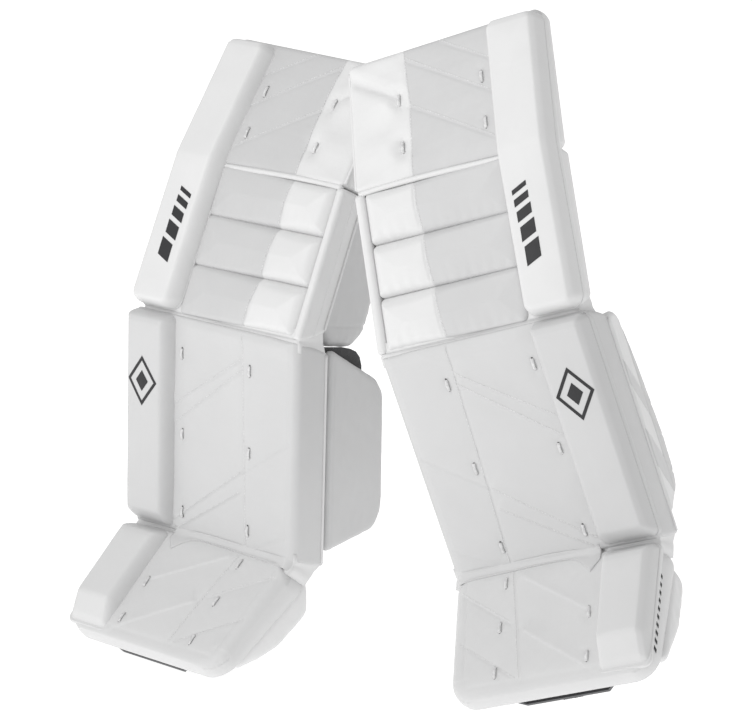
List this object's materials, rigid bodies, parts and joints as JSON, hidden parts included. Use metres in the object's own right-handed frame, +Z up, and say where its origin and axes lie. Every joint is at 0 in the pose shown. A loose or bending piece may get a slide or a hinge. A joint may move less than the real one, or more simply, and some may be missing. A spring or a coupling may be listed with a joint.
{
  "type": "goalie leg pads",
  "caption": "Pair of padded leg guards with flat faces, stuffed knee and outer rolls, angled boot sections, calf wings and straps, leaning together.",
  "frame": {"origin": "under the middle of the pair's bounding box, at its lowest point", "axes": "+Z up, -Y the side the striking faces look towards, +X the wearer's left"},
  "size_m": [0.774, 0.7021, 0.8643],
  "materials": {
    "white_vinyl": "satin coated synthetic leather",
    "grey_vinyl": "satin coated synthetic leather",
    "foam": "closed-cell foam",
    "black_lining": "brushed nylon lining",
    "black_webbing": "woven webbing",
    "black_plastic": "moulded",
    "grey_plastic": "moulded"
  },
  "bodies": {
    "left_upper": {"left_thigh_cover": "white_vinyl", "left_thigh_core": "foam", "left_knee_roll_1": "white_vinyl", "left_knee_roll_2": "white_vinyl", "left_knee_roll_3": "white_vinyl", "left_inner_knee_roll": "white_vinyl", "left_knee_core": "foam", "left_upper_outer_roll": "white_vinyl", "left_upper_back": "white_vinyl", "left_knee_cushion": "black_lining", "left_knee_landing": "grey_vinyl", "left_knee_strap": "black_webbing"},
    "left_shin": {"left_shin_cover": "white_vinyl", "left_shin_core": "foam", "left_shin_back": "black_lining", "left_shin_outer_roll": "white_vinyl", "left_leg_cushion": "black_lining"},
    "left_inner_wing": {"left_inner_calf_wing": "grey_vinyl"},
    "left_outer_wing": {"left_outer_calf_wing": "white_vinyl", "left_calf_strap": "black_webbing"},
    "left_boot": {"left_boot_cover": "white_vinyl", "left_boot_core": "foam", "left_boot_back": "black_lining", "left_boot_outer_roll": "white_vinyl", "left_boot_outer_wall": "white_vinyl", "left_boot_inner_wall": "white_vinyl", "left_boot_strap": "black_webbing", "left_boot_buckle": "black_plastic", "left_toe_bridge": "grey_plastic"},
    "left_toe_strap": {"left_toe_strap": "black_webbing"},
    "right_upper": {"right_thigh_cover": "white_vinyl", "right_thigh_core": "foam", "right_knee_roll_1": "white_vinyl", "right_knee_roll_2": "white_vinyl", "right_knee_roll_3": "white_vinyl", "right_inner_knee_roll": "white_vinyl", "right_knee_core": "foam", "right_upper_outer_roll": "white_vinyl", "right_upper_back": "white_vinyl", "right_knee_cushion": "black_lining", "right_knee_landing": "grey_vinyl", "right_knee_strap": "black_webbing"},
    "right_shin": {"right_shin_cover": "white_vinyl", "right_shin_core": "foam", "right_shin_back": "black_lining", "right_shin_outer_roll": "white_vinyl", "right_leg_cushion": "black_lining"},
    "right_inner_wing": {"right_inner_calf_wing": "grey_vinyl"},
    "right_outer_wing": {"right_outer_calf_wing": "white_vinyl", "right_calf_strap": "black_webbing"},
    "right_boot": {"right_boot_cover": "white_vinyl", "right_boot_core": "foam", "right_boot_back": "black_lining", "right_boot_outer_roll": "white_vinyl", "right_boot_outer_wall": "white_vinyl", "right_boot_inner_wall": "white_vinyl", "right_boot_strap": "black_webbing", "right_boot_buckle": "black_plastic", "right_toe_bridge": "grey_plastic"},
    "right_toe_strap": {"right_toe_strap": "black_webbing"}
  },
  "joints": [
    {"name": "pads_apart", "type": "slide", "parent": "left_shin", "child": "right_shin", "axis": [-1, 0, 0], "range_m": [0, 0.25]},
    {"name": "left_knee_flex", "type": "hinge", "parent": "left_shin", "child": "left_upper", "pos_m": [0.1389, -0.1621, 0.4955], "axis": [-0.8795, 0.3596, -0.3117], "range_deg": [-4, 18], "stiffness_Nm_per_rad": 80},
    {"name": "left_ankle_flex", "type": "hinge", "parent": "left_shin", "child": "left_boot", "pos_m": [0.23343, -0.17469, 0.21423], "axis": [-0.8795, 0.3596, -0.3117], "range_deg": [-22, 8], "stiffness_Nm_per_rad": 60},
    {"name": "left_inner_wing_swing", "type": "hinge", "parent": "left_shin", "child": "left_inner_wing", "pos_m": [0.09735, -0.05784, 0.30793], "axis": [-0.3183, 0.0424, 0.947], "range_deg": [0, 60]},
    {"name": "left_outer_wing_swing", "type": "hinge", "parent": "left_shin", "child": "left_outer_wing", "pos_m": [0.32778, -0.15207, 0.38958], "axis": [0.3183, -0.0424, -0.947], "range_deg": [0, 60]},
    {"name": "left_toe_strap_slide", "type": "slide", "parent": "left_boot", "child": "left_toe_strap", "axis": [0.8795, -0.3596, 0.3117], "range_m": [-0.035, 0.03]},
    {"name": "right_knee_flex", "type": "hinge", "parent": "right_shin", "child": "right_upper", "pos_m": [-0.1941, 0.1134, 0.438], "axis": [-0.7808, 0.6244, 0.0208], "range_deg": [-4, 18], "stiffness_Nm_per_rad": 80},
    {"name": "right_ankle_flex", "type": "hinge", "parent": "right_shin", "child": "right_boot", "pos_m": [-0.20202, 0.11337, 0.14111], "axis": [-0.7808, 0.6244, 0.0208], "range_deg": [-22, 8], "stiffness_Nm_per_rad": 60},
    {"name": "right_inner_wing_swing", "type": "hinge", "parent": "right_shin", "child": "right_inner_wing", "pos_m": [-0.05247, 0.08376, 0.27417], "axis": [-0.0267, -0.0001, -0.9996], "range_deg": [0, 60]},
    {"name": "right_outer_wing_swing", "type": "hinge", "parent": "right_shin", "child": "right_outer_wing", "pos_m": [-0.25704, 0.24736, 0.27961], "axis": [0.0267, 0.0001, 0.9996], "range_deg": [0, 60]},
    {"name": "right_toe_strap_slide", "type": "slide", "parent": "right_boot", "child": "right_toe_strap", "axis": [-0.7808, 0.6244, 0.0208], "range_m": [-0.035, 0.03]}
  ]
}
